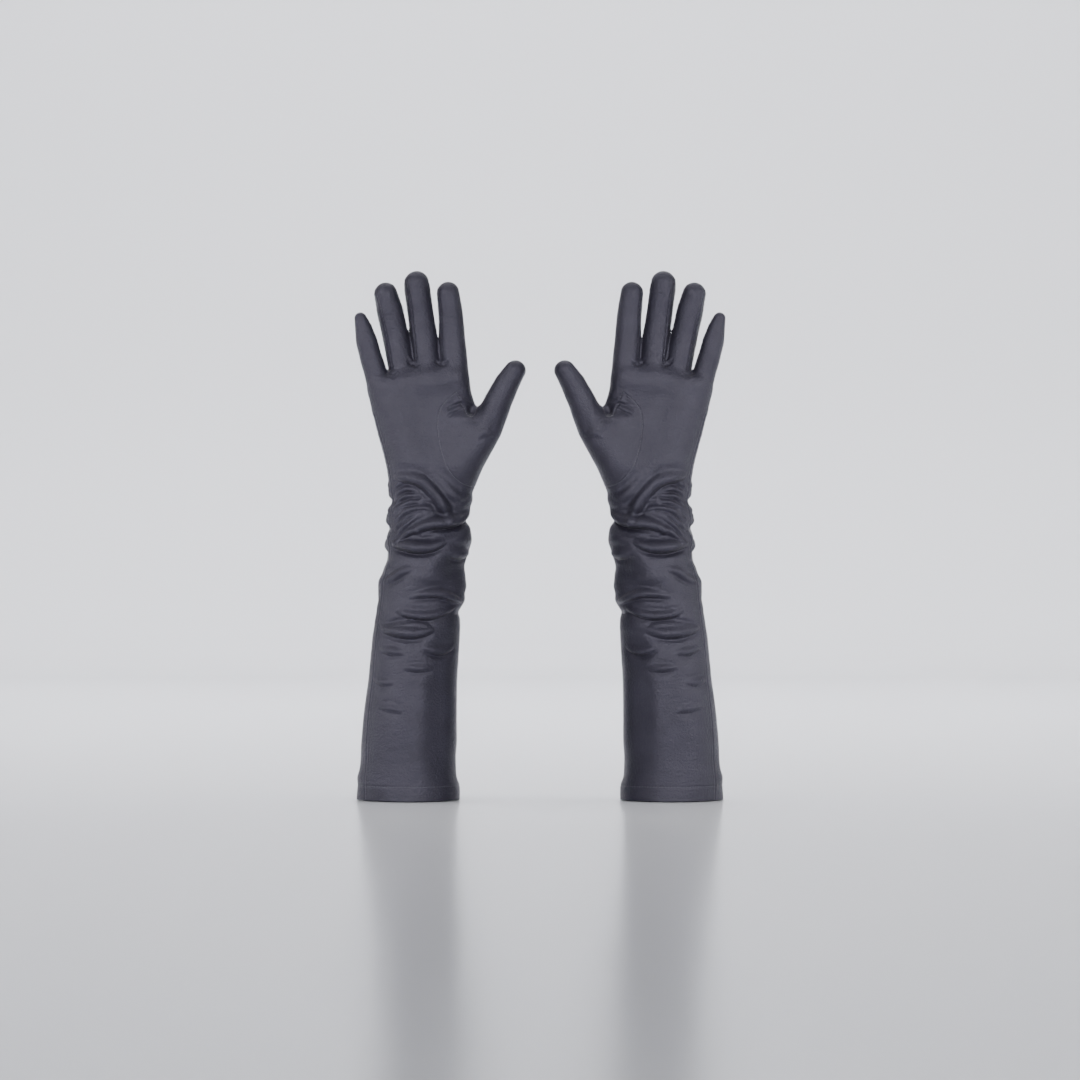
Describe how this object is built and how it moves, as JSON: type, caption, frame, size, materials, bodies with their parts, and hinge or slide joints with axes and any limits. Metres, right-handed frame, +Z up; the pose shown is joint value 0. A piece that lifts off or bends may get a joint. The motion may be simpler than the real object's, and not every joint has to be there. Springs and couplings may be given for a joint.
{
  "type": "opera gloves",
  "caption": "Pair of elbow-length soft leather opera gloves, standing on their hems with the palms forward, with fingers and thumbs that bend.",
  "frame": {"origin": "on the floor, midway between the two gloves and midway through their hems' depth", "axes": "+Z up the gloves towards the fingertips, -Y out of the palms, +X from the right-hand glove to the left-hand glove"},
  "size_m": [0.317, 0.0772, 0.4521],
  "materials": {
    "leather": "soft satin nappa, near-black with a cool violet cast",
    "thread": "fine polyester thread matched to the leather",
    "elastic": "woven elastic tape"
  },
  "bodies": {
    "right_hand": {"right_trank": "leather", "right_thumb_gusset": "leather", "right_hem_facing": "leather", "right_wrist_elastic": "elastic", "right_hem_stitching": "thread", "right_side_stitching": "thread", "right_thumb_stitching": "thread", "right_little_bend": "leather", "right_ring_bend": "leather", "right_middle_bend": "leather", "right_index_bend": "leather", "right_thumb_bend": "leather"},
    "right_little": {"right_little_stall": "leather", "right_little_fourchette_inner": "leather"},
    "right_ring": {"right_ring_stall": "leather", "right_ring_fourchette_outer": "leather", "right_ring_fourchette_inner": "leather"},
    "right_middle": {"right_middle_stall": "leather", "right_middle_fourchette_outer": "leather", "right_middle_fourchette_inner": "leather"},
    "right_index": {"right_index_stall": "leather", "right_index_fourchette_outer": "leather"},
    "right_thumb": {"right_thumb_stall": "leather"},
    "left_hand": {"left_trank": "leather", "left_thumb_gusset": "leather", "left_hem_facing": "leather", "left_wrist_elastic": "elastic", "left_hem_stitching": "thread", "left_side_stitching": "thread", "left_thumb_stitching": "thread", "left_little_bend": "leather", "left_ring_bend": "leather", "left_middle_bend": "leather", "left_index_bend": "leather", "left_thumb_bend": "leather"},
    "left_little": {"left_little_stall": "leather", "left_little_fourchette_inner": "leather"},
    "left_ring": {"left_ring_stall": "leather", "left_ring_fourchette_outer": "leather", "left_ring_fourchette_inner": "leather"},
    "left_middle": {"left_middle_stall": "leather", "left_middle_fourchette_outer": "leather", "left_middle_fourchette_inner": "leather"},
    "left_index": {"left_index_stall": "leather", "left_index_fourchette_outer": "leather"},
    "left_thumb": {"left_thumb_stall": "leather"}
  },
  "joints": [
    {"name": "left_glove_slide", "type": "slide", "parent": "right_hand", "child": "left_hand", "axis": [1, 0, 0], "range_m": [-0.015, 0.15]},
    {"name": "right_little_curl", "type": "hinge", "parent": "right_hand", "child": "right_little", "pos_m": [-0.14208, -0.00223, 0.37539], "axis": [0.9605, 0, 0.2784], "range_deg": [-15, 65], "deforming": ["right_little_bend"]},
    {"name": "right_ring_curl", "type": "hinge", "parent": "right_hand", "child": "right_ring", "pos_m": [-0.11954, -0.00127, 0.38457], "axis": [0.9765, 0, 0.2155], "range_deg": [-15, 65], "deforming": ["right_ring_bend"]},
    {"name": "right_middle_curl", "type": "hinge", "parent": "right_hand", "child": "right_middle", "pos_m": [-0.09763, -0.00098, 0.38735], "axis": [0.9927, 0, 0.1209], "range_deg": [-15, 65], "deforming": ["right_middle_bend"]},
    {"name": "right_index_curl", "type": "hinge", "parent": "right_hand", "child": "right_index", "pos_m": [-0.07347, -0.00209, 0.38589], "axis": [0.9952, 0, 0.0983], "range_deg": [-15, 65], "deforming": ["right_index_bend"]},
    {"name": "right_thumb_curl", "type": "hinge", "parent": "right_hand", "child": "right_thumb", "pos_m": [-0.03458, -0.00754, 0.34306], "axis": [0.6036, -0.7055, -0.3714], "range_deg": [-10, 55], "deforming": ["right_thumb_bend"]},
    {"name": "left_little_curl", "type": "hinge", "parent": "left_hand", "child": "left_little", "pos_m": [0.14208, -0.00223, 0.37539], "axis": [0.9605, 0, -0.2784], "range_deg": [-15, 65], "deforming": ["left_little_bend"]},
    {"name": "left_ring_curl", "type": "hinge", "parent": "left_hand", "child": "left_ring", "pos_m": [0.11954, -0.00127, 0.38457], "axis": [0.9765, 0, -0.2155], "range_deg": [-15, 65], "deforming": ["left_ring_bend"]},
    {"name": "left_middle_curl", "type": "hinge", "parent": "left_hand", "child": "left_middle", "pos_m": [0.09763, -0.00098, 0.38735], "axis": [0.9927, 0, -0.1209], "range_deg": [-15, 65], "deforming": ["left_middle_bend"]},
    {"name": "left_index_curl", "type": "hinge", "parent": "left_hand", "child": "left_index", "pos_m": [0.07347, -0.00209, 0.38589], "axis": [0.9952, 0, -0.0983], "range_deg": [-15, 65], "deforming": ["left_index_bend"]},
    {"name": "left_thumb_curl", "type": "hinge", "parent": "left_hand", "child": "left_thumb", "pos_m": [0.03458, -0.00754, 0.34306], "axis": [0.6036, 0.7055, 0.3714], "range_deg": [-10, 55], "deforming": ["left_thumb_bend"]}
  ]
}
